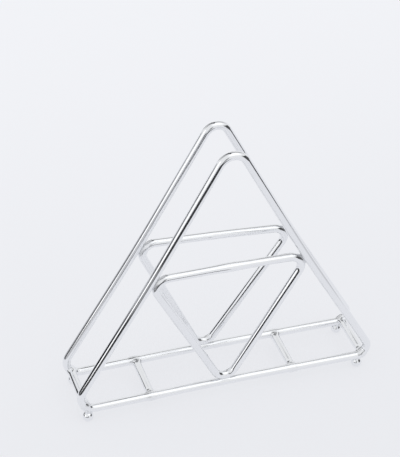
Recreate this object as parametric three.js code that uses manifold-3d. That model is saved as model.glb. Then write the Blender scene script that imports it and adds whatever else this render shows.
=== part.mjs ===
// Wire tissue holder: two triangular frames of bent round wire stand one behind the other, each with a
// smaller triangle welded point down inside it. Four straight bars tie the frames together at the base,
// and the holder stands on four ball feet.
// Millimetres, +Z up. X runs along the holder's width, Y from the front frame to the back one.

import * as THREE from 'three';
import { mergeVertices } from 'three/addons/utils/BufferGeometryUtils.js';
import Module from 'manifold-3d';

// Wire, the same gauge for every loop and bar
const WIRE_DIAMETER = 4.0;
const SEAT_GAP = 0.3; // clearance left at each welded seat
const WELD_SET = 0.1; // how far the weld presses an inner loop into its outer loop

// Outer loops, measured on the wire's centreline between the sharp corners
const LOOP_WIDTH = 155.0;
const LOOP_HEIGHT = 139.0;
const FRONT_APEX_BEND = 7.0; // centreline radius of each bend
const BACK_APEX_BEND = 6.0;
const LEFT_BEND = 7.4;
const RIGHT_BEND = 5.4;
const LEG_DRAW = 1.35; // how far the weld of the inner loop draws the middle of each leg inwards
const BASE_DRAW = 0.9;
const DRAW_BEND = 1200.0; // the long soft bend that the drawing leaves in a side

// Inner loops, which hang from the middles of the outer loop's three sides
const INNER_BEND = 5.8;
const INNER_BOW = 0.5; // rise of the top run's middle
const INNER_DROP = 0.8; // how far its two upper welds lie below the middles of the legs
const FRONT_SLIDE = 0.4; // how far round the frame each inner loop sits from the middles of the sides
const BACK_SLIDE = 2.3;

// Stance of the two frames, which lean together slightly
const BASE_SPACING = 27.1;
const APEX_SPACING = 23.3;

// Cross bars
const MID_BAR_SPACING = 72.0;
const MID_BAR_SHIFT = -1.3; // the pair sits a little left of the middle
const LEFT_END_BAR_ANGLE = 48.0; // degrees round the corner bend, up from the base
const RIGHT_END_BAR_ANGLE = 35.0;
const UPSET_RISE = 0.25; // swell that the butt weld leaves on a bar's end
const UPSET_LENGTH = 1.4;

// Feet
const FOOT_DIAMETER = 5.2;
const FOOT_FLAT_DIAMETER = 2.4; // worn flat that meets the table
const FOOT_NECK_DIAMETER = 2.6; // weld neck between ball and wire
const FOOT_INSET = 8.7; // from the loop's sharp corner
const GROUND_CLEARANCE = 4.4; // from the table to the underside of the base wire

// Finish
const CHROME_COLOR = 0xd6d9dc;
const CHROME_ROUGHNESS = 0.07;
const CHROME_METALNESS = 1.0;

// Facets
const WIRE_SIDES = 14;
const FACET_TURN = THREE.MathUtils.degToRad(12);
const BALL_SIDES = 20;
const BALL_STEPS = 9;
const MERGE_DISTANCE = 1e-4;

const WIRE_RADIUS = WIRE_DIAMETER / 2;
const SEAT_RADIUS = WIRE_RADIUS + SEAT_GAP;
const HALF_WIDTH = LOOP_WIDTH / 2;
const HALF_SPACING = BASE_SPACING / 2;
const FOOT_RADIUS = FOOT_DIAMETER / 2;
const FOOT_NECK_RADIUS = FOOT_NECK_DIAMETER / 2;
const BASE_HEIGHT = GROUND_CLEARANCE + WIRE_RADIUS;
const LEAN = Math.asin((BASE_SPACING - APEX_SPACING) / 2 / LOOP_HEIGHT);

const wasm = await Module();
wasm.setup();

// A point in a frame's plane: x along the width, y up the plane from the base wire's centreline.
const point = (x, y) => new THREE.Vector2(x, y);

// One bend of a wire: an arc that touches the straight runs on both sides of its corner.
function bendAt(before, corner, after, radius) {
  const into = corner.clone().sub(before).normalize();
  const out = after.clone().sub(corner).normalize();
  const turn = Math.atan2(into.cross(out), into.dot(out));
  const side = Math.sign(turn);
  const start = corner.clone().addScaledVector(into, -radius * Math.tan(Math.abs(turn) / 2));
  const centre = start.clone().add(point(-into.y, into.x).multiplyScalar(side * radius));
  const startAngle = Math.atan2(start.y - centre.y, start.x - centre.x);
  const arc = new THREE.ArcCurve(centre.x, centre.y, radius, startAngle, startAngle + turn, turn < 0);
  const steps = Math.max(1, Math.ceil(Math.abs(turn) / FACET_TURN));
  return { centre, radius, points: arc.getPoints(steps) };
}

// A closed loop of wire: straight runs between the bends at its corners, listed anticlockwise.
function bentLoop(corners) {
  const count = corners.length;
  const bends = corners.map(({ at, radius }, index) => {
    const before = corners[(index + count - 1) % count].at;
    const after = corners[(index + 1) % count].at;
    return bendAt(before, at, after, radius);
  });
  return { bends, centreline: bends.flatMap((bend) => bend.points) };
}

// Round wire along a closed centreline in the frame's plane, as rings of points joined by triangles.
function closedWire(centreline, radius) {
  const positions = [];
  const faces = [];
  const count = centreline.length;
  centreline.forEach((here, ring) => {
    const into = here.clone().sub(centreline[(ring + count - 1) % count]).normalize();
    const out = centreline[(ring + 1) % count].clone().sub(here).normalize();
    const along = into.add(out).normalize();
    const nextRing = (ring + 1) % count;
    for (let side = 0; side < WIRE_SIDES; side += 1) {
      const angle = (2 * Math.PI * side) / WIRE_SIDES;
      const outward = radius * Math.cos(angle);
      const across = radius * Math.sin(angle);
      positions.push(here.x + along.y * outward, across, here.y - along.x * outward);
      const nextSide = (side + 1) % WIRE_SIDES;
      const a = ring * WIRE_SIDES + side;
      const b = ring * WIRE_SIDES + nextSide;
      const c = nextRing * WIRE_SIDES + nextSide;
      const d = nextRing * WIRE_SIDES + side;
      faces.push(a, b, c, a, c, d);
    }
  });
  const geometry = new THREE.BufferGeometry();
  geometry.setAttribute('position', new THREE.Float32BufferAttribute(positions, 3));
  geometry.setIndex(faces);
  geometry.computeVertexNormals();
  return geometry;
}

function toSolid(geometry) {
  const bare = geometry.clone();
  bare.deleteAttribute('normal');
  bare.deleteAttribute('uv');
  const merged = mergeVertices(bare, MERGE_DISTANCE);
  const vertProperties = new Float32Array(merged.getAttribute('position').array);
  const triVerts = new Uint32Array(merged.getIndex().array);
  return new wasm.Manifold(new wasm.Mesh({ numProp: 3, vertProperties, triVerts }));
}

function toGeometry(solid) {
  const { vertProperties, triVerts } = solid.getMesh();
  const geometry = new THREE.BufferGeometry();
  geometry.setAttribute('position', new THREE.BufferAttribute(vertProperties, 3));
  geometry.setIndex(new THREE.BufferAttribute(triVerts, 1));
  geometry.computeVertexNormals();
  return geometry;
}

function cutBy(geometry, cutters) {
  return toGeometry(cutters.reduce((solid, cutter) => solid.subtract(cutter), toSolid(geometry)));
}

function chromePiece(name, geometry) {
  const material = new THREE.MeshStandardMaterial({
    color: CHROME_COLOR,
    roughness: CHROME_ROUGHNESS,
    metalness: CHROME_METALNESS,
  });
  const mesh = new THREE.Mesh(geometry, material);
  mesh.name = name;
  return mesh;
}

// One side of the outer loop, from corner to corner, with the distance that its weld draws it in. Its middle
// and inward direction place the weld of the inner loop, which lies off the middle by a distance along it.
function outerSide(from, to, draw, weldOffset) {
  const along = to.clone().sub(from).normalize();
  const inward = point(-along.y, along.x);
  const middle = from.clone().add(to).multiplyScalar(0.5).addScaledVector(inward, draw);
  return { along, inward, middle, weldOffset };
}

const leftCorner = point(-HALF_WIDTH, 0);
const rightCorner = point(HALF_WIDTH, 0);
const apex = point(0, LOOP_HEIGHT);
const base = outerSide(leftCorner, rightCorner, BASE_DRAW, 0);
const rightLeg = outerSide(rightCorner, apex, LEG_DRAW, -INNER_DROP);
const leftLeg = outerSide(apex, leftCorner, LEG_DRAW, INNER_DROP);

function outerLoop(apexBend) {
  return bentLoop([
    { at: leftCorner, radius: LEFT_BEND },
    { at: base.middle, radius: DRAW_BEND },
    { at: rightCorner, radius: RIGHT_BEND },
    { at: rightLeg.middle, radius: DRAW_BEND },
    { at: apex, radius: apexBend },
    { at: leftLeg.middle, radius: DRAW_BEND },
  ]);
}
const frontOuter = outerLoop(FRONT_APEX_BEND);
const backOuter = outerLoop(BACK_APEX_BEND);
const [leftBend, , rightBend] = frontOuter.bends;

// The inner loop, whose three bends seat against the outer loop's sides: a bend's centre stands off its side by
// the bend and the wire, less the set of the weld, and the sharp corner lies beyond it on the bisector.
function innerLoop(slide) {
  const standoff = INNER_BEND + WIRE_DIAMETER - WELD_SET;
  const centres = [base, rightLeg, leftLeg].map(({ along, inward, middle, weldOffset }) =>
    middle.clone().addScaledVector(inward, standoff).addScaledVector(along, weldOffset - slide));
  const sharp = centres.map((centre, index) => {
    const toNext = centres[(index + 1) % 3].clone().sub(centre).normalize();
    const toLast = centres[(index + 2) % 3].clone().sub(centre).normalize();
    const halfAngle = Math.acos(toNext.dot(toLast)) / 2;
    const outward = toNext.add(toLast).normalize();
    return centre.clone().addScaledVector(outward, -INNER_BEND / Math.sin(halfAngle));
  });
  const [bottom, right, left] = sharp;
  const topMiddle = right.clone().add(left).multiplyScalar(0.5).add(point(0, INNER_BOW));
  return bentLoop([
    { at: bottom, radius: INNER_BEND },
    { at: right, radius: INNER_BEND },
    { at: topMiddle, radius: DRAW_BEND },
    { at: left, radius: INNER_BEND },
  ]);
}

// Height of the base wire's centreline at a place along the width: the lowest run of the loop there.
function baseWireHeight(x) {
  const line = frontOuter.centreline;
  const heights = line.flatMap((from, index) => {
    const to = line[(index + 1) % line.length];
    const share = (x - from.x) / (to.x - from.x);
    return share >= 0 && share <= 1 ? [THREE.MathUtils.lerp(from.y, to.y, share)] : [];
  });
  return Math.min(...heights);
}

// The two frames. Each stands on its base wire and leans towards the other. The inner loop is hollowed where
// its three welds press it against the outer one.
const frames = [
  { name: 'front', facing: -1, outer: frontOuter, slide: FRONT_SLIDE },
  { name: 'back', facing: 1, outer: backOuter, slide: BACK_SLIDE },
].map(({ name, facing, outer, slide }) => {
  const group = new THREE.Group();
  group.position.set(0, facing * HALF_SPACING, BASE_HEIGHT);
  group.rotation.x = facing * LEAN;
  group.updateMatrix();
  const fatOuter = closedWire(outer.centreline, SEAT_RADIUS);
  const inner = cutBy(closedWire(innerLoop(slide).centreline, WIRE_RADIUS), [toSolid(fatOuter)]);
  group.add(chromePiece(`${name}_outer_loop`, closedWire(outer.centreline, WIRE_RADIUS)));
  group.add(chromePiece(`${name}_inner_loop`, inner));
  return { name, facing, group, seat: toSolid(fatOuter.applyMatrix4(group.matrix)) };
});
const wireSeats = frames.map(({ seat }) => seat);

// A straight bar along Y, swollen at both ends by its butt welds. Its ends are hollowed to fit the loops.
function crossBar(radius, place) {
  const swellEnd = HALF_SPACING - SEAT_RADIUS;
  const swellStart = swellEnd - UPSET_LENGTH;
  const swollen = radius + UPSET_RISE;
  const profile = [
    point(0, -HALF_SPACING),
    point(swollen, -HALF_SPACING),
    point(swollen, -swellEnd),
    point(radius, -swellStart),
    point(radius, swellStart),
    point(swollen, swellEnd),
    point(swollen, HALF_SPACING),
    point(0, HALF_SPACING),
  ];
  return new THREE.LatheGeometry(profile, WIRE_SIDES).translate(place.x, 0, BASE_HEIGHT + place.y);
}

// Place of an end bar on the centreline of a corner bend.
function onBend({ centre, radius }, side, degrees) {
  const angle = THREE.MathUtils.degToRad(degrees);
  return point(centre.x + side * radius * Math.sin(angle), centre.y - radius * Math.cos(angle));
}

const midBars = [['left_mid_bar', -1], ['right_mid_bar', 1]].map(([name, side]) => {
  const x = MID_BAR_SHIFT + (side * MID_BAR_SPACING) / 2;
  return { name, place: point(x, baseWireHeight(x)) };
});
const endBars = [
  { name: 'left_end_bar', place: onBend(leftBend, -1, LEFT_END_BAR_ANGLE) },
  { name: 'right_end_bar', place: onBend(rightBend, 1, RIGHT_END_BAR_ANGLE) },
];

// A ball foot: flat under the ball, and a short neck above it that ends in a saddle under the wire.
function ballFoot(x, y) {
  const flatRadius = FOOT_FLAT_DIAMETER / 2;
  const centreHeight = Math.sqrt(FOOT_RADIUS ** 2 - flatRadius ** 2);
  const flatAngle = Math.asin(flatRadius / FOOT_RADIUS);
  const neckAngle = Math.PI - Math.asin(FOOT_NECK_RADIUS / FOOT_RADIUS);
  const neckTop = BASE_HEIGHT + baseWireHeight(x);
  const arc = new THREE.ArcCurve(0, centreHeight, FOOT_RADIUS, flatAngle - Math.PI / 2, neckAngle - Math.PI / 2);
  const profile = [point(0, 0), ...arc.getPoints(BALL_STEPS), point(FOOT_NECK_RADIUS, neckTop), point(0, neckTop)];
  return new THREE.LatheGeometry(profile, BALL_SIDES).rotateX(Math.PI / 2).translate(x, y, 0);
}

const holder = new THREE.Group();
frames.forEach(({ group }) => holder.add(group));
[...midBars, ...endBars].forEach(({ name, place }) => {
  holder.add(chromePiece(name, cutBy(crossBar(WIRE_RADIUS, place), wireSeats)));
});
const footSides = [['left', -1, endBars[0]], ['right', 1, endBars[1]]];
frames.forEach(({ name, facing, seat }) => {
  footSides.forEach(([sideName, side, endBar]) => {
    const barSeat = toSolid(crossBar(SEAT_RADIUS, endBar.place));
    const foot = ballFoot(side * (HALF_WIDTH - FOOT_INSET), facing * HALF_SPACING);
    holder.add(chromePiece(`${name}_${sideName}_foot`, cutBy(foot, [seat, barSeat])));
  });
});

// The two corner bends differ, so the loops reach further to one side: centre the holder on its width.
const rightReach = rightBend.centre.x + RIGHT_BEND;
const leftReach = leftBend.centre.x - LEFT_BEND;
holder.position.x = -(rightReach + leftReach) / 2;

export default holder;
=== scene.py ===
"""A chrome wire tissue holder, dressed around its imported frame.

Every wire is a round profile carried along its bent centreline and every foot a profile turned about its
axis, so that reflections run along them without a break. Welded pieces flow into one another through the
small fillet that a resistance weld leaves. Sizes are millimetres until a mesh is written, and the frame is
in metres: +X along the width, +Y from the front frame to the back one, +Z up from the table.
"""

import logging
import math
from dataclasses import dataclass, field
from enum import Enum
from typing import Any

import bpy
import numpy as np
from mathutils import Matrix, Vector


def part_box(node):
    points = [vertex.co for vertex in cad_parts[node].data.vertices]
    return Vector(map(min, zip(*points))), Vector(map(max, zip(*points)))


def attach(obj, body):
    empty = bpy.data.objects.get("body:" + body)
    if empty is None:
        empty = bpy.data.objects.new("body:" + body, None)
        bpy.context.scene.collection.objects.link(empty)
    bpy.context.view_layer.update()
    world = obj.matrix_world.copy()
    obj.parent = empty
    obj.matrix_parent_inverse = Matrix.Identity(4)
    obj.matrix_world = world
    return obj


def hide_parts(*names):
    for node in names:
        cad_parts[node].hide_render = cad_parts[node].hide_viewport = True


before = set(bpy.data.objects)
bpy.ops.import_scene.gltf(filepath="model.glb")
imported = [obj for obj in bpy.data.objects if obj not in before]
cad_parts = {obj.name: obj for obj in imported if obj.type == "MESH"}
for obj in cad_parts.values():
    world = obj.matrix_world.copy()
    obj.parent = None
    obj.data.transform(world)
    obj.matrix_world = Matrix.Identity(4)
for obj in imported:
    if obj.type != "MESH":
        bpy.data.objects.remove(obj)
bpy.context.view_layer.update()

LOG = logging.getLogger("tissue_holder")
BODY = "root"
MM = 0.001
X_AXIS, Y_AXIS, Z_AXIS = np.eye(3)
SRGB_TOP = 255
SRGB_KNEE = 0.04045
SRGB_SLOPE = 12.92
SRGB_LIFT = 0.055
SRGB_POWER = 2.4
POINTS_AT_ONCE = 1500
LEAST_SQUARE = 1e-12
QUAD = 4


class Side(Enum):
    """Which of the two standing frames, by its direction along Y."""

    FRONT = -1
    BACK = 1


class End(Enum):
    """Which end of the holder's width, by its direction along X."""

    LEFT = -1
    RIGHT = 1


class Slot(Enum):
    """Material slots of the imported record."""

    WIRE = "wire_chrome"
    BALL = "ball_chrome"


class Tone(Enum):
    """Tones at which the cards round the set glow: the colours of the painted reflections."""

    NEAR_BLACK = "#1E1F21"
    CHARCOAL = "#2E2F31"
    DARK = "#37383A"
    FLOOR_SHADE = "#3A3B3D"
    GREY = "#808183"
    PALE = "#E9EAEE"
    WHITE = "#FFFFFF"


def linear(hex_code: str) -> tuple[float, float, float, float]:
    """Turn an sRGB colour into the linear values that shaders take.

    Up to the knee a value is divided by the slope. Past it, the value plus the lift, over one plus the
    lift, is raised to the power.

    Args:
        hex_code: six hex digits with a leading hash sign.

    Returns:
        Linear red, green, blue and an alpha of one.
    """
    shares = np.array([int(hex_code[i:i + 2], 16) for i in (1, 3, 5)]) / SRGB_TOP
    low = shares / SRGB_SLOPE
    high = ((shares + SRGB_LIFT) / (1 + SRGB_LIFT)) ** SRGB_POWER
    return (*np.where(shares <= SRGB_KNEE, low, high).tolist(), 1.0)


def middle_of(node: str) -> np.ndarray:
    """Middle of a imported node's box, in millimetres."""
    return np.mean(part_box(node), axis=0) / MM


def bare_material(name: str) -> bpy.types.Material:
    """Make a material with an empty node tree.

    Args:
        name: the material's name.

    Returns:
        The new material.
    """
    material = bpy.data.materials.new(name)
    material.use_nodes = True
    material.node_tree.nodes.clear()
    return material


def add_object(name: str, data: bpy.types.ID) -> bpy.types.Object:
    """Put a mesh or a camera into the scene.

    Args:
        name: the object's name.
        data: its mesh or camera.

    Returns:
        The new object, at the origin.
    """
    item = bpy.data.objects.new(name, data)
    bpy.context.scene.collection.objects.link(item)
    return item


def add_node(tree: bpy.types.NodeTree, kind: str, settings: dict[str, Any],
             **inputs: Any) -> bpy.types.Node:
    """Add a node, set it up and link it.

    Args:
        tree: node tree that takes the node.
        kind: Blender's name of the node class.
        settings: the node's own properties, by name.
        inputs: a value or an output socket for each input, by the socket's name with _ for a space, or by
            its number as _0, _1 and so on where names repeat. A colour Mix node's colours are 6 and 7.

    Returns:
        The new node.
    """
    node = tree.nodes.new(kind)
    for name, value in settings.items():
        setattr(node, name, value)
    for name, value in inputs.items():
        key = int(name[1:]) if name[0] == "_" else name.replace("_", " ")
        socket = node.inputs[key]
        if isinstance(value, bpy.types.NodeSocket):
            tree.links.new(value, socket)
        else:
            socket.default_value = value
    return node


@dataclass(frozen=True)
class Core:
    """The middle line of a round piece and its radius, which its neighbours' weld fillets lean on."""

    line: np.ndarray
    radius: float

    def gap(self, points: np.ndarray) -> np.ndarray:
        """Measure how far points lie from this piece's surface.

        The nearest place on each straight stretch of the line is where the point's shadow falls on it, held
        between the stretch's ends; the gap is the least of these distances, less the radius.

        Args:
            points: places in millimetres, one row each.

        Returns:
            The gap at each point, negative inside the piece.
        """
        start = self.line[:-1]
        along = self.line[1:] - start
        square = np.maximum((along ** 2).sum(axis=1), LEAST_SQUARE)
        parts = []
        for chunk in np.array_split(points, max(1, len(points) // POINTS_AT_ONCE)):
            offset = chunk[:, None, :] - start
            share = np.clip((offset * along).sum(axis=2) / square, 0.0, 1.0)
            near = offset - share[..., None] * along
            parts.append(np.sqrt((near ** 2).sum(axis=2).min(axis=1)))
        return np.concatenate(parts) - self.radius


@dataclass(frozen=True)
class Weld:
    """A resistance weld: its fillet, how far round it the plate is dulled, and how much at most."""

    fillet: float = 1.5
    reach: float = 1.1
    dullness: float = 0.36


@dataclass(frozen=True)
class Centreline:
    """Path of a wire with the two directions that span its cross-section."""

    points: np.ndarray
    outward: np.ndarray
    across: np.ndarray
    closed: bool

    @property
    def distance(self) -> np.ndarray:
        """Length of the path from its first point to each point."""
        steps = np.linalg.norm(np.diff(self.points, axis=0), axis=1)
        return np.concatenate([[0.0], np.cumsum(steps)])

    @property
    def length(self) -> float:
        """Whole length, with the last step back to the start where the path is closed."""
        closing = np.linalg.norm(self.points[0] - self.points[-1]) if self.closed else 0.0
        return float(self.distance[-1] + closing)

    def core(self, radius: float) -> Core:
        """The path as a core of the given radius for its neighbours' fillets."""
        line = np.vstack([self.points, self.points[:1]]) if self.closed else self.points
        return Core(line, radius)


@dataclass(frozen=True)
class Bend:
    """A corner of a bent wire in its frame's plane, with the radius that its centreline is bent to."""

    at: tuple[float, float]
    radius: float


def bent_loop(bends: list[Bend], arc_steps: int, run_steps: int) -> tuple[np.ndarray, np.ndarray]:
    """Work out a closed centreline of straight runs and round bends.

    At each corner an arc touches both sides: it starts radius times tan(turn / 2) before the corner, its
    centre stands one radius to the inside, and it sweeps the turn from one side's direction to the next. A
    straight run leads from the end of each arc to the start of the one after it.

    Args:
        bends: the corners, listed anticlockwise.
        arc_steps: points on each arc.
        run_steps: points on each straight run, between its ends.

    Returns:
        The points of the loop and the outward directions there, both in the plane.
    """
    corner = np.array([bend.at for bend in bends])
    radius = np.array([bend.radius for bend in bends])[:, None]
    into = corner - np.roll(corner, 1, axis=0)
    into /= np.linalg.norm(into, axis=1, keepdims=True)
    out = np.roll(into, -1, axis=0)
    sine = into[:, 0] * out[:, 1] - into[:, 1] * out[:, 0]
    turn = np.arctan2(sine, (into * out).sum(axis=1))[:, None]
    inside = np.sign(turn) * np.stack([-into[:, 1], into[:, 0]], axis=1)
    start = corner - into * radius * np.tan(np.abs(turn) / 2)
    centre = start + inside * radius
    angle = np.arctan2(-inside[:, 1:], -inside[:, :1]) + turn * np.linspace(0, 1, arc_steps)
    spoke = np.stack([np.cos(angle), np.sin(angle)], axis=2)
    arc = centre[:, None, :] + radius[..., None] * spoke
    share = np.linspace(0, 1, run_steps + 2)[1:-1, None]
    run = arc[:, -1:, :] + share * (np.roll(start, -1, axis=0)[:, None, :] - arc[:, -1:, :])
    flank = np.repeat(np.stack([out[:, 1], -out[:, 0]], axis=1)[:, None, :], run_steps, axis=1)
    points = np.concatenate([arc, run], axis=1).reshape(-1, 2)
    outward = np.concatenate([np.sign(turn)[..., None] * spoke, flank], axis=1).reshape(-1, 2)
    return points, outward


@dataclass
class RoundSurface:
    """A round surface before it becomes a mesh: rings of points about a centreline, one radius to a ring.

    The way along the wire is known for each ring, and how much a weld dulls the plate for each point.
    """

    vertices: np.ndarray
    normals: np.ndarray
    distance: np.ndarray
    length: float
    closed: bool
    dull: np.ndarray = field(init=False)

    @classmethod
    def carry(cls, path: Centreline, radius: np.ndarray, sides: int) -> "RoundSurface":
        """Carry a round profile along a path.

        A point of the ring at angle t lies at centre + radius * (cos t * outward + sin t * across).

        Args:
            path: the centreline and its cross-section directions.
            radius: the ring's radius at each point of the path.
            sides: points on each ring.

        Returns:
            The surface as a grid of rings.
        """
        angle = np.linspace(0, 2 * np.pi, sides, endpoint=False)[:, None]
        spoke = np.cos(angle) * path.outward[:, None, :] + np.sin(angle) * path.across[:, None, :]
        vertices = path.points[:, None, :] + radius[:, None, None] * spoke
        return cls(vertices, spoke, path.distance, path.length, path.closed)

    def gap(self, neighbours: list[Core]) -> np.ndarray:
        """Gap from each point to the nearest of the neighbours, ring by ring."""
        flat = self.vertices.reshape(-1, 3)
        return np.min([core.gap(flat) for core in neighbours], axis=0).reshape(self.vertices.shape[:2])

    def weld_to(self, neighbours: list[Core], weld: Weld) -> None:
        """Swell the surface where it nears a welded neighbour, as a fillet does, and dull it there.

        Where the gap to the neighbour is under the fillet's size, the surface moves out along its normal by
        size / 4 * (1 - gap / size) squared, which is what a smooth union of the two pieces would add. The
        dullness fades away from the weld as a bell curve of the gap that is left, over the weld's reach.

        Args:
            neighbours: cores of the pieces that are welded to this one.
            weld: the weld between them.
        """
        rise = weld.fillet / 4 * np.clip(1 - self.gap(neighbours) / weld.fillet, 0, 1) ** 2
        self.vertices = self.vertices + self.normals * rise[..., None]
        left = np.maximum(self.gap(neighbours), 0)
        self.dull = weld.dullness * np.exp(-((left / weld.reach) ** 2))

    def faces(self) -> list[tuple[int, ...]]:
        """Join each ring to the next with four-sided faces, and close the ends of an open surface.

        Returns:
            Corner numbers of every face, listed so that the faces point outwards.
        """
        rings, sides = self.vertices.shape[:2]
        number = np.arange(rings * sides).reshape(rings, sides)
        this = number if self.closed else number[:-1]
        after = np.roll(number, -1, axis=0) if self.closed else number[1:]
        quads = np.stack([this, np.roll(this, -1, axis=1), np.roll(after, -1, axis=1), after], axis=2)
        ends = [] if self.closed else [tuple(number[0, ::-1].tolist()), tuple(number[-1].tolist())]
        return [tuple(quad) for quad in quads.reshape(-1, QUAD).tolist()] + ends

    def unrolled(self, mesh: bpy.types.Mesh) -> np.ndarray:
        """Lay the surface out flat for patterns that run along the wire.

        The first coordinate is the way along the wire and the second the way round it, both in metres. A
        face that spans the seam of a closed wire or of a ring takes the far end's value there, not zero.

        Args:
            mesh: the mesh made of this surface's faces.

        Returns:
            A pair of coordinates for each face corner.
        """
        rings, sides = self.vertices.shape[:2]
        corner = np.zeros(len(mesh.loops), dtype=np.int32)
        mesh.loops.foreach_get("vertex_index", corner)
        ring, side = np.divmod(corner, sides)
        girth = 2 * np.pi * np.linalg.norm(self.vertices[0, 0] - self.vertices[0].mean(axis=0))
        face, place = np.divmod(np.arange(len(corner)), QUAD)
        quad = face < (rings if self.closed else rings - 1) * sides
        wraps_along = quad & (face // sides == rings - 1) & (place >= 2)
        wraps_round = quad & (face % sides == sides - 1) & ((place == 1) | (place == 2))
        way = np.where(wraps_along, self.length, self.distance[ring])
        turn = np.where(wraps_round, 1.0, side / sides)
        return np.stack([way * MM, turn * girth * MM], axis=1)


def make_piece(name: str, surface: RoundSurface, material: bpy.types.Material, node: str,
               slot: Slot) -> None:
    """Write a surface as a mesh object that stands for a node of the frame.

    Args:
        name: name of the new object, which lies at the origin and rides on the holder's body.
        surface: its surface in millimetres, with the dullness that the finish reads as weld.
        material: its finish.
        node: the frame's node that it replaces.
        slot: the record's slot that its finish belongs to; not used.
    """
    mesh = bpy.data.meshes.new(name)
    mesh.from_pydata(surface.vertices.reshape(-1, 3) * MM, [], surface.faces())
    mesh.polygons.foreach_set("use_smooth", np.ones(len(mesh.polygons), dtype=bool))
    layer = mesh.uv_layers.new(name="unrolled")
    layer.data.foreach_set("uv", surface.unrolled(mesh).astype(np.float32).ravel())
    weld = mesh.attributes.new("weld", "FLOAT", "POINT")
    weld.data.foreach_set("value", surface.dull.astype(np.float32).ravel())
    mesh.materials.append(material)
    mesh.validate()
    mesh.update()
    piece = add_object(name, mesh)
    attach(piece, BODY)
    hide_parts(node)
    LOG.info("%s: %d points, replaces %s", name, len(mesh.vertices), node)


@dataclass(frozen=True)
class ChromePlate:
    """Bright nickel-chrome plate on polished steel: to the eye, a cold mirror with a faint blue cast.

    The plate follows the drawn wire under it, so the mirror ripples a little along the wire. Thin haze and
    polishing scratches soften it, and along a weld seam it is duller, greyer and faintly pitted. Real
    scratches are hundredths of a millimetre wide; these are drawn wider, so that they show close up. Sizes
    are millimetres.
    """

    name: str
    bright: str = "#F4F5F7"
    hazed: str = "#F0F1F3"
    at_weld: str = "#ECEDEF"
    polish: float = 0.06
    haze_size: float = 9.0
    haze_detail: float = 3.0
    haze_grain: float = 0.55
    haze_roughness: float = 0.03
    scratch_length: float = 3.0
    scratch_width: float = 0.12
    scratch_detail: float = 2.0
    scratch_roughness: float = 0.05
    ripple_length: float = 7.0
    ripple_width: float = 2.4
    ripple_detail: float = 1.0
    ripple_height: float = 0.006
    weld_roughness: float = 0.45
    seam_sharpness: float = 6.0
    pit_size: float = 0.7
    pit_detail: float = 2.0
    pit_height: float = 0.02

    def material(self) -> bpy.types.Material:
        """Build the finish.

        Returns:
            A metal whose roughness, tone and relief come from noise at real sizes and from the welds.
        """
        material = bare_material(self.name)
        tree = material.node_tree
        place = add_node(tree, "ShaderNodeTexCoord", {})
        weld = add_node(tree, "ShaderNodeAttribute", {"attribute_name": "weld"}).outputs["Fac"]
        haze = add_node(tree, "ShaderNodeTexNoise", {}, Vector=place.outputs["Object"],
                        Scale=1 / (self.haze_size * MM), Detail=self.haze_detail,
                        Roughness=self.haze_grain).outputs["Fac"]
        scratch = self.streaks(tree, place, self.scratch_length, self.scratch_width, self.scratch_detail)
        tone = add_node(tree, "ShaderNodeMix", {"data_type": "RGBA"}, Factor=haze,
                        _6=linear(self.bright), _7=linear(self.hazed)).outputs[2]
        colour = add_node(tree, "ShaderNodeMix", {"data_type": "RGBA"}, Factor=weld,
                          _6=tone, _7=linear(self.at_weld)).outputs[2]
        roughness = self.polish
        for pattern, share in ((haze, self.haze_roughness), (scratch, self.scratch_roughness),
                               (weld, self.weld_roughness)):
            roughness = add_node(tree, "ShaderNodeMath", {"operation": "MULTIPLY_ADD"}, _0=pattern,
                                 _1=share, _2=roughness).outputs[0]
        shader = add_node(tree, "ShaderNodeBsdfPrincipled", {}, Metallic=1.0, Base_Color=colour,
                          Roughness=roughness, Normal=self.relief(tree, place, weld))
        add_node(tree, "ShaderNodeOutputMaterial", {}, Surface=shader.outputs["BSDF"])
        return material

    def streaks(self, tree: bpy.types.NodeTree, place: bpy.types.Node, length: float, width: float,
                detail: float) -> bpy.types.NodeSocket:
        """Draw a noise out along the wire.

        Args:
            tree: the finish's node tree.
            place: its texture coordinates.
            length: size of the noise along the wire.
            width: size of the noise round the wire.
            detail: finer octaves of the noise.

        Returns:
            The noise over the unrolled surface.
        """
        way = add_node(tree, "ShaderNodeMapping", {}, Vector=place.outputs["UV"],
                       Scale=(1 / (length * MM), 1 / (width * MM), 1.0)).outputs["Vector"]
        return add_node(tree, "ShaderNodeTexNoise", {}, Vector=way, Scale=1.0, Detail=detail).outputs["Fac"]

    def relief(self, tree: bpy.types.NodeTree, place: bpy.types.Node,
               weld: bpy.types.NodeSocket) -> bpy.types.NodeSocket:
        """Ripple the plate along the wire and pit it in the weld seams.

        Args:
            tree: the finish's node tree.
            place: its texture coordinates.
            weld: the weld attribute, which a power narrows to the seam.

        Returns:
            The surface's normal.
        """
        ripple = self.streaks(tree, place, self.ripple_length, self.ripple_width, self.ripple_detail)
        rippled = add_node(tree, "ShaderNodeBump", {}, Height=ripple, Strength=1.0,
                           Distance=self.ripple_height * MM).outputs["Normal"]
        pits = add_node(tree, "ShaderNodeTexNoise", {}, Vector=place.outputs["Object"],
                        Scale=1 / (self.pit_size * MM), Detail=self.pit_detail).outputs["Fac"]
        seam = add_node(tree, "ShaderNodeMath", {"operation": "POWER"}, _0=weld,
                        _1=self.seam_sharpness).outputs[0]
        pitted = add_node(tree, "ShaderNodeMath", {"operation": "MULTIPLY"}, _0=pits, _1=seam).outputs[0]
        return add_node(tree, "ShaderNodeBump", {}, Height=pitted, Strength=1.0,
                        Distance=self.pit_height * MM, Normal=rippled).outputs["Normal"]


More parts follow.
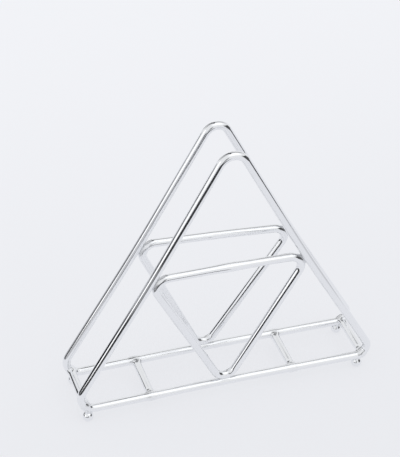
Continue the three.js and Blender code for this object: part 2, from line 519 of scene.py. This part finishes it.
@dataclass(frozen=True)
class Stance:
    """Where the two frames stand: sizes that every sub-assembly shares.

    Bars, feet and outer loops have the plain joint, and an inner loop's bends the duller seat.
    """

    wire: float = 4.0
    loop_width: float = 155.0
    loop_height: float = 139.0
    base_spacing: float = 27.1
    apex_spacing: float = 23.3
    ground_clearance: float = 4.4
    left_bend: float = 7.4
    right_bend: float = 5.4
    base_draw: float = 0.9
    leg_draw: float = 1.35
    draw_bend: float = 1200.0
    joint: Weld = Weld()
    seat: Weld = Weld(dullness=1.0)
    sides: int = 56
    arc_steps: int = 32
    run_steps: int = 26

    @property
    def radius(self) -> float:
        """Radius of the wire."""
        return self.wire / 2

    @property
    def base_height(self) -> float:
        """Height of the base wires' centrelines above the table."""
        return self.ground_clearance + self.radius

    @property
    def lean(self) -> float:
        """Angle by which each frame leans towards the other."""
        return math.asin((self.base_spacing - self.apex_spacing) / 2 / self.loop_height)

    @property
    def shift(self) -> float:
        """Place of the loops' middle along the width, half-way between the two front feet."""
        return float(middle_of("front_left_foot")[0] + middle_of("front_right_foot")[0]) / 2

    def stand(self, side: Side, flat: np.ndarray) -> np.ndarray:
        """Stand points of a frame's plane up in the part.

        Args:
            side: which frame.
            flat: points in the plane, along the width and up from the base wire.

        Returns:
            The points in the part's frame.
        """
        foot = [self.shift, side.value * self.base_spacing / 2, self.base_height]
        return np.array(foot) + self.turn(side, flat)

    def turn(self, side: Side, flat: np.ndarray) -> np.ndarray:
        """Directions of a frame's plane as directions in the part."""
        lean = side.value * self.lean
        return np.stack([flat[:, 0], -flat[:, 1] * math.sin(lean), flat[:, 1] * math.cos(lean)], axis=1)

    def loop(self, side: Side, bends: list[Bend]) -> Centreline:
        """Bend a closed wire in a frame's plane and stand it up.

        Args:
            side: which frame.
            bends: its corners, anticlockwise.

        Returns:
            Its centreline in the part's frame.
        """
        points, outward = bent_loop(bends, self.arc_steps, self.run_steps)
        lean = side.value * self.lean
        across = np.broadcast_to([0.0, math.cos(lean), math.sin(lean)], (len(points), 3))
        return Centreline(self.stand(side, points), self.turn(side, outward), across, closed=True)


@dataclass(frozen=True)
class OuterSide:
    """One side of an outer loop: its direction, the way in and its drawn-in middle."""

    along: np.ndarray
    inward: np.ndarray
    middle: np.ndarray

    @classmethod
    def between(cls, start: np.ndarray, end: np.ndarray, draw: float) -> "OuterSide":
        """Lay the side from one sharp corner to the next.

        Args:
            start: the corner that it leaves.
            end: the corner that it reaches.
            draw: how far its weld draws its middle in.

        Returns:
            The side.
        """
        along = (end - start) / np.linalg.norm(end - start)
        inward = np.array([-along[1], along[0]])
        return cls(along, inward, (start + end) / 2 + inward * draw)


@dataclass(frozen=True)
class Swell:
    """The closing butt weld of a wire loop: place along the top run, rise and spread, in millimetres."""

    place: float
    rise: float
    spread: float


@dataclass
class WireFrame:
    """One standing frame: an outer triangle of bent wire with a smaller one welded point down inside it."""

    side: Side
    stance: Stance
    apex_bend: float
    slide: float
    closing: Swell
    inner_bend: float = 5.8
    inner_bow: float = 0.5
    inner_drop: float = 0.8
    weld_set: float = 0.1
    outer: Centreline = field(init=False)
    inner: Centreline = field(init=False)

    def __post_init__(self) -> None:
        """Bend both loops."""
        stance = self.stance
        half = stance.loop_width / 2
        left, right, apex = np.array([[-half, 0.0], [half, 0.0], [0.0, stance.loop_height]])
        base = OuterSide.between(left, right, stance.base_draw)
        right_leg = OuterSide.between(right, apex, stance.leg_draw)
        left_leg = OuterSide.between(apex, left, stance.leg_draw)
        self.outer = stance.loop(self.side, [
            Bend(tuple(left), stance.left_bend),
            Bend(tuple(base.middle), stance.draw_bend),
            Bend(tuple(right), stance.right_bend),
            Bend(tuple(right_leg.middle), stance.draw_bend),
            Bend(tuple(apex), self.apex_bend),
            Bend(tuple(left_leg.middle), stance.draw_bend),
        ])
        self.inner = stance.loop(self.side, self.inner_bends(base, right_leg, left_leg))

    def inner_bends(self, base: OuterSide, right_leg: OuterSide, left_leg: OuterSide) -> list[Bend]:
        """Seat the inner loop's three bends against the outer loop's sides.

        A bend's centre stands off its side by the bend and one wire, less the set of the weld. The sharp
        corner lies beyond the centre on the bisector, at the bend's radius over the sine of half the angle.

        Args:
            base: the outer loop's base.
            right_leg: its right leg.
            left_leg: its left leg.

        Returns:
            The inner loop's corners, with the slightly raised middle of its top run.
        """
        stand_off = self.inner_bend + self.stance.wire - self.weld_set
        sides = (base, right_leg, left_leg)
        offsets = np.array([0.0, -self.inner_drop, self.inner_drop]) - self.slide
        centre = np.array([s.middle + s.inward * stand_off + s.along * o for s, o in zip(sides, offsets)])
        to_next = np.roll(centre, -1, axis=0) - centre
        to_next /= np.linalg.norm(to_next, axis=1, keepdims=True)
        to_last = -np.roll(to_next, 1, axis=0)
        half_angle = np.arccos((to_next * to_last).sum(axis=1, keepdims=True)) / 2
        bisector = (to_next + to_last) / np.linalg.norm(to_next + to_last, axis=1, keepdims=True)
        bottom, right, left = centre - bisector * self.inner_bend / np.sin(half_angle)
        top = (right + left) / 2 + np.array([0.0, self.inner_bow])
        return [
            Bend(tuple(bottom), self.inner_bend),
            Bend(tuple(right), self.inner_bend),
            Bend(tuple(top), self.stance.draw_bend),
            Bend(tuple(left), self.inner_bend),
        ]

    def closed_radius(self) -> np.ndarray:
        """Radius along the inner loop, swollen as a bell curve where its two ends were butted together.

        Returns:
            One radius for each point of the inner loop's centreline.
        """
        stance = self.stance
        along = self.inner.points[:, 0] - stance.shift - self.closing.place
        on_top_run = self.inner.points[:, 2] > self.inner.points[:, 2].max() - stance.wire
        bell = np.exp(-((along / self.closing.spread) ** 2))
        return stance.radius + self.closing.rise * bell * on_top_run

    def build(self, finish: bpy.types.Material, bars: list[Core], feet: list[Core]) -> None:
        """Make both loops' meshes and dress them.

        Args:
            finish: the wire's finish.
            bars: cores of the cross bars.
            feet: cores of the ball feet.
        """
        stance = self.stance
        name = self.side.name.lower()
        plain = np.full(len(self.outer.points), stance.radius)
        outer = RoundSurface.carry(self.outer, plain, stance.sides)
        outer.weld_to([self.inner.core(stance.radius), *bars, *feet], stance.joint)
        make_piece(f"{name}_outer_wire", outer, finish, f"{name}_outer_loop", Slot.WIRE)
        inner = RoundSurface.carry(self.inner, self.closed_radius(), stance.sides)
        inner.weld_to([self.outer.core(stance.radius)], stance.seat)
        make_piece(f"{name}_inner_wire", inner, finish, f"{name}_inner_loop", Slot.WIRE)


@dataclass
class CrossBars:
    """The four straight bars that tie the frames together, each butted against both base wires."""

    stance: Stance
    upset_rise: float = 0.25
    upset_spread: float = 1.1
    tip_radius: float = 1.3
    rings: int = 60
    places: dict[str, np.ndarray] = field(init=False)

    def __post_init__(self) -> None:
        """Take the bars' places from the frame: across the width and up from the table."""
        names = [f"{end.name.lower()}_{kind}" for kind in ("mid", "end") for end in End]
        self.places = {name: middle_of(f"{name}_bar")[[0, 2]] for name in names}

    def path(self, place: np.ndarray) -> Centreline:
        """Lay a bar straight from the front base wire's centreline to the back one's.

        Its points crowd towards the welds: their depth is the sine of an evenly growing angle.

        Args:
            place: where the bar lies, across the width and up from the table.

        Returns:
            The bar's centreline.
        """
        angle = np.linspace(-np.pi / 2, np.pi / 2, self.rings)[:, None]
        depth = self.stance.base_spacing / 2 * np.sin(angle)
        points = place[0] * X_AXIS + depth * Y_AXIS + place[1] * Z_AXIS
        upward = np.broadcast_to(Z_AXIS, points.shape)
        sideways = np.broadcast_to(X_AXIS, points.shape)
        return Centreline(points, upward, sideways, closed=False)

    def core(self, name: str) -> Core:
        """One bar as a core for its neighbours' fillets."""
        return self.path(self.places[name]).core(self.stance.radius)

    def cores(self) -> list[Core]:
        """Cores of the four bars."""
        return [self.core(name) for name in self.places]

    def build(self, finish: bpy.types.Material, loops: list[Core]) -> None:
        """Make the bars' meshes and dress them.

        The radius swells towards the butt weld as a bell curve about the base wire's flank, and falls to
        the bar's tip inside that wire.

        Args:
            finish: the wire's finish.
            loops: cores of the two outer loops.
        """
        stance = self.stance
        for name, place in self.places.items():
            path = self.path(place)
            to_wire = stance.base_spacing / 2 - np.abs(path.points[:, 1])
            bell = np.exp(-(((to_wire - stance.radius) / self.upset_spread) ** 2))
            inside = np.clip(to_wire / stance.radius, 0, 1)
            radius = self.tip_radius + (stance.radius - self.tip_radius) * np.sqrt(inside * (2 - inside))
            surface = RoundSurface.carry(path, radius + self.upset_rise * bell, stance.sides)
            surface.weld_to(loops, stance.joint)
            make_piece(f"{name}_rod", surface, finish, f"{name}_bar", Slot.WIRE)


@dataclass
class BallFeet:
    """The four ball feet, each on a short weld neck under a base wire near its corner."""

    stance: Stance
    diameter: float = 5.2
    flat: float = 2.4
    neck: float = 2.6
    inset: float = 8.7
    ball_rings: int = 44
    neck_rings: int = 8

    @property
    def centre_height(self) -> float:
        """Height of a ball's centre: the ball is worn flat where it stands."""
        return math.sqrt((self.diameter / 2) ** 2 - (self.flat / 2) ** 2)

    def place(self, side: Side, end: End) -> np.ndarray:
        """Work out where a foot stands.

        Args:
            side: the frame that it stands under.
            end: the end of that frame.

        Returns:
            The middle of its flat, on the table.
        """
        across = self.stance.shift + end.value * (self.stance.loop_width / 2 - self.inset)
        depth = side.value * self.stance.base_spacing / 2
        return across * X_AXIS + depth * Y_AXIS

    def core(self, side: Side, end: End) -> Core:
        """A ball as a core for its neighbours' fillets: a point with the ball's radius."""
        centre = self.place(side, end) + self.centre_height * Z_AXIS
        return Core(np.array([centre, centre]), self.diameter / 2)

    def cores(self, side: Side) -> list[Core]:
        """Cores of the two balls under one frame."""
        return [self.core(side, end) for end in End]

    def profile(self) -> tuple[np.ndarray, np.ndarray]:
        """Work out the profile that is turned into a foot.

        It runs up from the worn flat round the ball to the neck, at the radius of the ball times the sine
        of the angle from its lowest point, and then straight up the neck into the wire.

        Returns:
            Heights above the table, and the radius at each of them.
        """
        ball = self.diameter / 2
        low = math.asin(self.flat / self.diameter)
        high = math.pi - math.asin(self.neck / self.diameter)
        angle = np.linspace(low, high, self.ball_rings)
        on_ball = self.centre_height - ball * np.cos(angle)
        on_neck = np.linspace(on_ball[-1], self.stance.base_height, self.neck_rings + 1)[1:]
        radius = np.concatenate([ball * np.sin(angle), np.full(self.neck_rings, self.neck / 2)])
        return np.concatenate([on_ball, on_neck]), radius

    def build(self, finish: bpy.types.Material, loops: dict[Side, Core], end_bars: dict[End, Core]) -> None:
        """Make the feet's meshes and dress them.

        Args:
            finish: the balls' finish.
            loops: cores of the outer loops.
            end_bars: cores of the bars at the two ends.
        """
        height, radius = self.profile()
        for side in Side:
            for end in End:
                points = self.place(side, end) + height[:, None] * Z_AXIS
                ahead = np.broadcast_to(X_AXIS, points.shape)
                aside = np.broadcast_to(Y_AXIS, points.shape)
                path = Centreline(points, ahead, aside, closed=False)
                surface = RoundSurface.carry(path, radius, self.stance.sides)
                surface.weld_to([loops[side], end_bars[end]], self.stance.joint)
                name = f"{side.name}_{end.name}".lower()
                make_piece(f"{name}_ball", surface, finish, f"{name}_foot", Slot.BALL)


@dataclass(frozen=True)
class PhotoCamera:
    """The camera that took the photograph, as fitted to the holder's corners and welds.

    Angles are radians; the offsets and the distance, in millimetres, place the middle of the holder's base
    in the camera's own axes: to the right, down and ahead. Nearest and farthest bound what it sees.
    """

    image_height: int = 457
    sensor: float = 36.0
    focal_pixels: float = 1752.8
    azimuth: float = -0.3356
    elevation: float = 0.6407
    roll: float = -0.0305
    offset_right: float = 7.97
    offset_down: float = 66.36
    distance: float = 858.98
    nearest: float = 10.0
    farthest: float = 50000.0

    def build(self, stance: Stance) -> None:
        """Make the camera and give it to the scene.

        Args:
            stance: gives the middle of the holder's base.
        """
        az, el = self.azimuth, self.elevation
        ahead = np.array([-math.sin(az) * math.cos(el), math.cos(az) * math.cos(el), -math.sin(el)])
        level = np.array([math.cos(az), math.sin(az), 0.0])
        down = np.cross(ahead, level)
        right = math.cos(self.roll) * level + math.sin(self.roll) * down
        below = math.cos(self.roll) * down - math.sin(self.roll) * level
        middle = np.array([stance.shift, 0.0, stance.base_height])
        eye = middle - self.offset_right * right - self.offset_down * below - self.distance * ahead
        data = bpy.data.cameras.new("photo_camera")
        data.sensor_width = self.sensor
        data.lens = self.focal_pixels * self.sensor / self.image_height
        data.clip_start = self.nearest * MM
        data.clip_end = self.farthest * MM
        camera = add_object("photo_camera", data)
        matrix = np.eye(4)
        matrix[:3, :] = np.stack([right, -below, -ahead, eye * MM], axis=1)
        camera.matrix_world = Matrix(matrix.tolist())
        bpy.context.scene.camera = camera


@dataclass(frozen=True)
class Card:
    """A card, sheet or panel beside the set that glows at its tone and only mirrored rays see: a painted
    reflection.

    To the eye it is a dark or pale line along the wires that mirror it. The corners are millimetres in
    the part's frame. Its cover falls to nothing over a rim, whose width is the fade's share of the way
    in to the middle, so that the line's edges are soft.
    """

    name: str
    corners: tuple[tuple[float, float, float], ...]
    tone: Tone
    strength: float = 1.0
    cover: float = 1.0
    fade: float = 0.1

    @classmethod
    def upright(cls, name: str, start: tuple[float, float], end: tuple[float, float],
                heights: tuple[float, float], tone: Tone, **look: float) -> "Card":
        """Stand a card up over a straight line on the floor.

        Args:
            name: the card's name.
            start: where the line starts.
            end: where the line ends.
            heights: the card's lower and upper edge.
            tone: its tone.
            look: its strength, cover and fade where they aren't the usual ones.

        Returns:
            The card.
        """
        low, high = heights
        return cls(name, ((*start, low), (*end, low), (*end, high), (*start, high)), tone, **look)

    @classmethod
    def lying(cls, name: str, outline: tuple[tuple[float, float], ...], height: float, tone: Tone,
              **look: float) -> "Card":
        """Lay a card level, at a height above the floor, with the given outline and look."""
        return cls(name, tuple((*corner, height) for corner in outline), tone, **look)

    def build(self) -> None:
        """Make the card of an inner sheet and a rim over which its cover falls to nothing."""
        outer = np.array(self.corners) * MM
        inner = outer + (outer.mean(axis=0) - outer) * self.fade
        count = len(outer)
        this = np.arange(count)
        after = np.roll(this, -1)
        rim = np.stack([this, after, after + count, this + count], axis=1)
        mesh = bpy.data.meshes.new(self.name)
        mesh.from_pydata(np.vstack([outer, inner]), [], [*rim.tolist(), list(range(count, 2 * count))])
        cover = np.repeat([0.0, self.cover], count).astype(np.float32)
        mesh.attributes.new("cover", "FLOAT", "POINT").data.foreach_set("value", cover)
        mesh.materials.append(self.material())
        card = add_object(self.name, mesh)
        card.visible_camera = False
        card.visible_diffuse = False
        card.visible_shadow = False

    def material(self) -> bpy.types.Material:
        """Card that glows evenly at its tone, a painted reflection, clear where its cover is nothing.

        Returns:
            The card's material.
        """
        material = bare_material(self.name)
        tree = material.node_tree
        cover = add_node(tree, "ShaderNodeAttribute", {"attribute_name": "cover"}).outputs["Fac"]
        clear = add_node(tree, "ShaderNodeBsdfTransparent", {}).outputs["BSDF"]
        sheet = add_node(tree, "ShaderNodeEmission", {}, Color=linear(self.tone.value),
                         Strength=self.strength).outputs["Emission"]
        mix = add_node(tree, "ShaderNodeMixShader", {}, _0=cover, _1=clear, _2=sheet)
        add_node(tree, "ShaderNodeOutputMaterial", {}, Surface=mix.outputs["Shader"])
        return material


@dataclass(frozen=True)
class Studio:
    """A pale floor and backdrop under an even sky, with a broad softbox high up at the front right.

    Cards stand and lie round the set for the chrome to mirror. Sizes are millimetres. The softbox's azimuth
    is in degrees from the back towards the right, its elevation in degrees above level, and its edge and
    core are cosines of the angle from its middle.
    """

    # Painted light: the floor's colour runs paler from near to far, as if more light fell towards the back.
    floor_near: str = "#ECEDF1"
    floor_far: str = "#F3F4F8"
    floor_reach: float = 4000.0
    floor_turns_pale: tuple[float, float] = (-100.0, 400.0)
    floor_own_tone: float = 0.80
    floor_card_height: float = 2.0
    backdrop: str = "#F2F3F7"
    sky: str = "#FAFBFC"
    sky_strength: float = 0.90
    softbox_strength: float = 0.40
    softbox_azimuth: float = 135.0
    softbox_elevation: float = 66.0
    softbox_edge: float = 0.76
    softbox_core: float = 0.985

    def build(self) -> None:
        """Lay the floor, light the scene and set the cards."""
        self.lay_floor()
        self.light()
        groups = (self.left_cards(), self.right_and_back_cards(), self.pale_sheets(), self.low_cards())
        for card in (card for group in groups for card in group):
            card.build()

    def lay_floor(self) -> None:
        """Lay a flat matt floor under the holder."""
        reach = self.floor_reach * MM
        corners = reach * np.array([-X_AXIS - Y_AXIS, X_AXIS - Y_AXIS, X_AXIS + Y_AXIS, Y_AXIS - X_AXIS])
        mesh = bpy.data.meshes.new("floor")
        mesh.from_pydata(corners.tolist(), [], [(0, 1, 2, 3)])
        mesh.materials.append(self.floor_card())
        floor = add_object("floor", mesh)

    def floor_card(self) -> bpy.types.Material:
        """Matt pale card with painted light, paler to the back: to the eye, an even ground with only a
        faint shade.

        Returns:
            The floor's material: camera and mirrored rays see it mostly at its own tone, the rest as lit.
        """
        material = bare_material("floor_card")
        tree = material.node_tree
        place = add_node(tree, "ShaderNodeTexCoord", {}).outputs["Object"]
        depth = add_node(tree, "ShaderNodeSeparateXYZ", {}, Vector=place).outputs["Y"]
        # Painted light: the tone runs from the near colour to the paler far one, as if more light fell
        # towards the back.
        near, far = (edge * MM for edge in self.floor_turns_pale)
        share = add_node(tree, "ShaderNodeMapRange", {"interpolation_type": "SMOOTHSTEP"}, Value=depth,
                         From_Min=near, From_Max=far).outputs["Result"]
        tone = add_node(tree, "ShaderNodeMix", {"data_type": "RGBA"}, Factor=share,
                        _6=linear(self.floor_near), _7=linear(self.floor_far)).outputs[2]
        lit = add_node(tree, "ShaderNodeBsdfDiffuse", {}, Color=tone).outputs["BSDF"]
        own = add_node(tree, "ShaderNodeEmission", {}, Color=tone, Strength=1.0).outputs["Emission"]
        path = add_node(tree, "ShaderNodeLightPath", {})
        seen = add_node(tree, "ShaderNodeMath", {"operation": "ADD"}, _0=path.outputs["Is Camera Ray"],
                        _1=path.outputs["Is Glossy Ray"]).outputs[0]
        held = add_node(tree, "ShaderNodeMath", {"operation": "MULTIPLY"}, _0=seen,
                        _1=self.floor_own_tone).outputs[0]
        mix = add_node(tree, "ShaderNodeMixShader", {}, _0=held, _1=lit, _2=own)
        add_node(tree, "ShaderNodeOutputMaterial", {}, Surface=mix.outputs["Shader"])
        return material

    def light(self) -> None:
        """Light the scene all round, brighter towards the softbox.

        The camera sees a plain pale backdrop. Mirrored rays see the sky, of about the backdrop's tone, and
        the softbox in it.
        """
        world = bpy.data.worlds.new("studio")
        world.use_nodes = True
        tree = world.node_tree
        tree.nodes.clear()
        az, el = math.radians(self.softbox_azimuth), math.radians(self.softbox_elevation)
        towards = (math.sin(az) * math.cos(el), math.cos(az) * math.cos(el), math.sin(el))
        way = add_node(tree, "ShaderNodeTexCoord", {}).outputs["Generated"]
        facing = add_node(tree, "ShaderNodeVectorMath", {"operation": "DOT_PRODUCT"}, _0=way, _1=towards)
        lift = add_node(tree, "ShaderNodeMapRange", {"interpolation_type": "SMOOTHSTEP"},
                        Value=facing.outputs["Value"], From_Min=self.softbox_edge,
                        From_Max=self.softbox_core, To_Min=self.sky_strength,
                        To_Max=self.sky_strength + self.softbox_strength).outputs["Result"]
        sky = add_node(tree, "ShaderNodeBackground", {}, Color=linear(self.sky), Strength=lift)
        plain = add_node(tree, "ShaderNodeBackground", {}, Color=linear(self.backdrop), Strength=1.0)
        seen = add_node(tree, "ShaderNodeLightPath", {}).outputs["Is Camera Ray"]
        mix = add_node(tree, "ShaderNodeMixShader", {}, _0=seen, _1=sky.outputs["Background"],
                       _2=plain.outputs["Background"])
        add_node(tree, "ShaderNodeOutputWorld", {}, Surface=mix.outputs["Shader"])
        bpy.context.scene.world = world

    def left_cards(self) -> list[Card]:
        """Set dark cards to the left, with a bright panel, seen only in mirrors: painted dark lines on the
        left legs and end bar.

        Returns:
            The cards to the left.
        """
        on_floor = ((-45, -215), (-100, -135), (-122, -86), (-135, -20), (-138, 50), (-170, 120),
                    (-230, 210), (-285, 268), (-485, -20), (-485, -220), (-60, -605), (100, -420),
                    (62, -195))
        back_left = ((-480, -25, 0), (-285, 268, 0), (-285, 268, 100), (-480, -25, 118))
        left_rod = ((-180, 69, 0), (-145, 98, 0), (-141, 102, 80), (-180, 69, 80))
        far_left = ((-1050, -30, 0), (-680, 690, 0), (-680, 690, 190), (-883, 294, 190), (-1050, -30, 150))
        return [
            Card.lying("left_floor_card", on_floor, self.floor_card_height, Tone.DARK, fade=0.04),
            Card.upright("front_left_card", (-480, -215), (-60, -600), (0, 78), Tone.DARK, fade=0.05),
            Card.upright("left_card", (-480, -215), (-480, -25), (0, 33), Tone.DARK, fade=0.05),
            Card("back_left_card", back_left, Tone.NEAR_BLACK, fade=0.05),
            Card("left_rod_card", left_rod, Tone.NEAR_BLACK, fade=0.12),
            Card("far_left_card", far_left, Tone.CHARCOAL, fade=0.05),
            # Painted highlight: a bright panel that only mirrors see and that lights nothing else.
            Card.upright("left_panel", (-1000, -540), (-1000, -30), (0, 700), Tone.WHITE, strength=1.35,
                         fade=0.04),
        ]

    def right_and_back_cards(self) -> list[Card]:
        """Set dark cards right and at the back, seen only in mirrors: painted lines on the inner right
        legs, strokes on the tops.

        Returns:
            The cards to the right and at the back.
        """
        high_back = ((-500, 320, 330), (700, 320, 330), (1100, 600, 1250), (-900, 600, 1250))
        far_back = ((-690, 1200, 20), (-250, 1200, 20), (190, 1200, 125), (110, 1200, 580),
                    (-300, 1200, 580), (-690, 1200, 330))
        return [
            Card.upright("right_low_card", (330, -420), (412, -60), (0, 112), Tone.CHARCOAL, cover=0.95,
                         fade=0.06),
            Card.upright("right_card", (330, -420), (430, 20), (108, 300), Tone.CHARCOAL, cover=0.95,
                         fade=0.06),
            Card("high_back_card", high_back, Tone.GREY, cover=0.8, fade=0.08),
            Card.upright("back_strip", (-50, 165), (30, 165), (195, 1100), Tone.CHARCOAL, cover=0.85,
                         fade=0.08),
            Card("far_back_card", far_back, Tone.CHARCOAL, cover=0.85, fade=0.1),
        ]

    def pale_sheets(self) -> list[Card]:
        """Set pale sheets close to the holder, seen only in mirrors: painted reflections that thin out dark
        lines along the wires.

        Returns:
            The sheets.
        """
        front = ((-119, -15.2, 3), (-85, -15.2, 3), (-15.5, -13.4, 132), (-49.5, -13.4, 132))
        low_front = ((-290, -15.2, 1), (-110, -15.2, 1), (-110, -15.2, 30), (-290, -15.2, 36))
        back = ((-92, 17.2, 14), (-76, 17.2, 14), (-11.5, 15.4, 132), (-27.5, 15.4, 132))
        leg = ((-122, 0, 60), (-59, 0, 60), (-47, 0, 82), (-110, 0, 82))
        long_leg = ((-129, 1, 48), (-66, 1, 48), (-26, 1, 120), (-89, 1, 120))
        weld = ((-77, -30, 54), (-49, -30, 54), (-34, -30, 84), (-62, -30, 84))
        # Painted reflection: glowing pale sheets, some between the two frames, that only the chrome
        # mirrors.
        return [
            Card("front_sheet", front, Tone.PALE, cover=0.65, fade=0.08),
            Card("low_front_sheet", low_front, Tone.PALE, cover=0.6, fade=0.08),
            Card("back_sheet", back, Tone.PALE, cover=0.38, fade=0.08),
            Card.upright("middle_sheet", (-15, -9), (-15, 12), (12, 60), Tone.PALE, cover=0.4),
            Card("leg_sheet", leg, Tone.PALE, cover=0.62, fade=0.5),
            Card("long_leg_sheet", long_leg, Tone.PALE, cover=0.2, fade=0.15),
            Card("weld_sheet", weld, Tone.PALE, cover=0.36, fade=0.5),
        ]

    def low_cards(self) -> list[Card]:
        """Lay a painted soft shade on the floor to the right and stand a dark card at the front, both seen
        only in mirrors.

        Returns:
            Both cards.
        """
        # Painted shade: a dark patch on the floor that the camera sees as pale, shown only in the chrome.
        on_floor = ((175, -60), (215, -140), (300, -215), (420, -215), (470, -60), (430, 80), (250, 60))
        return [
            Card.lying("right_floor_card", on_floor, self.floor_card_height, Tone.FLOOR_SHADE, cover=0.25,
                       fade=0.35),
            Card.upright("front_card", (-20, -600), (-165, -600), (0, 420), Tone.DARK, cover=0.8,
                         fade=0.06),
        ]


def main() -> None:
    """Build the holder, its light and its camera."""
    logging.basicConfig(level=logging.INFO, format="%(name)s: %(message)s")
    bpy.context.scene.view_settings.view_transform = "Standard"
    stance = Stance()
    wire_plate = ChromePlate("chrome_plated_wire").material()
    ball_plate = ChromePlate("chrome_plated_ball").material()
    front_closing = Swell(place=0.0, rise=0.3, spread=6.0)
    back_closing = Swell(place=0.0, rise=0.1, spread=2.0)
    frames = {
        Side.FRONT: WireFrame(Side.FRONT, stance, apex_bend=7.0, slide=0.4, closing=front_closing),
        Side.BACK: WireFrame(Side.BACK, stance, apex_bend=6.0, slide=2.3, closing=back_closing),
    }
    bars = CrossBars(stance)
    feet = BallFeet(stance)
    loops = {side: wire_frame.outer.core(stance.radius) for side, wire_frame in frames.items()}
    end_bars = {end: bars.core(f"{end.name.lower()}_end") for end in End}
    for side, wire_frame in frames.items():
        wire_frame.build(wire_plate, bars.cores(), feet.cores(side))
    bars.build(wire_plate, list(loops.values()))
    feet.build(ball_plate, loops, end_bars)
    PhotoCamera().build(stance)
    Studio().build()


if __name__ == "__main__":
    main()
